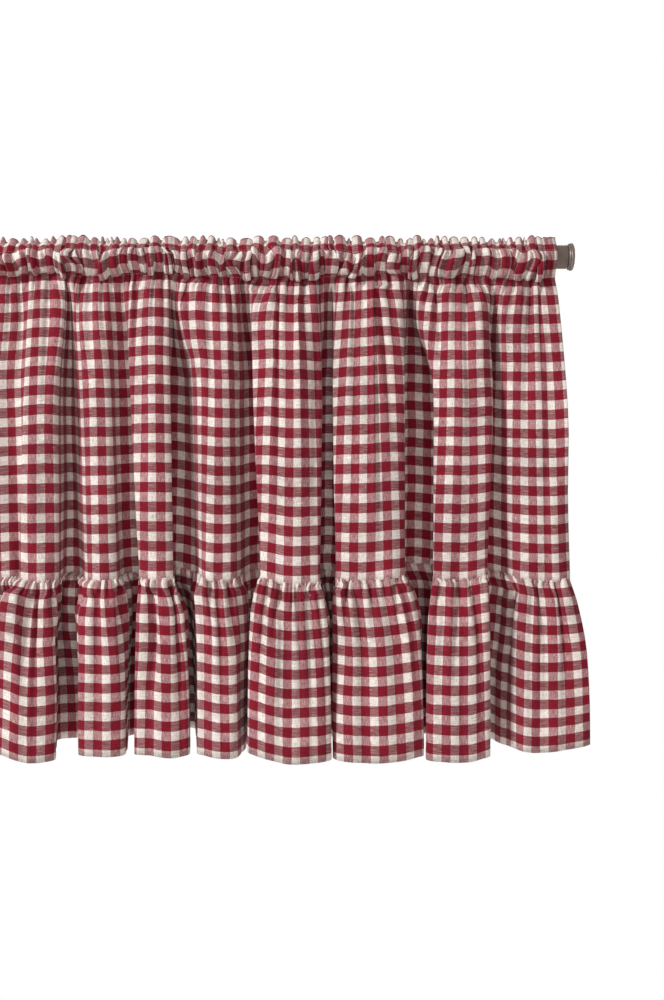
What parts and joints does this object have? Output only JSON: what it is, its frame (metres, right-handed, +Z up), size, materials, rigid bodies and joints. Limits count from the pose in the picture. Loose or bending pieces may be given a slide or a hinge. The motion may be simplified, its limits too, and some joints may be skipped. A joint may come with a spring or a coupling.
{
  "type": "ruffled window valance on a curtain rod",
  "caption": "Check cloth valance gathered on a plain round rod by a header and pocket, with a gathered ruffle sewn along its lower edge.",
  "frame": {"origin": "on the rod's axis, halfway along the rod", "axes": "+X along the rod to the right as the front is faced, -Y out of the front of the valance, +Z up"},
  "size_m": [0.8524, 0.0818, 0.5249],
  "materials": {
    "rod_metal": "satin pewter grey, faintly brushed round the rod",
    "check_cloth": "plain-woven cotton, yarn-dyed in a red and cream check, matt"
  },
  "bodies": {
    "root": {"rod": "rod_metal", "cap_left": "rod_metal", "cap_right": "rod_metal", "panel": "check_cloth", "ruffle": "check_cloth"}
  },
  "joints": []
}
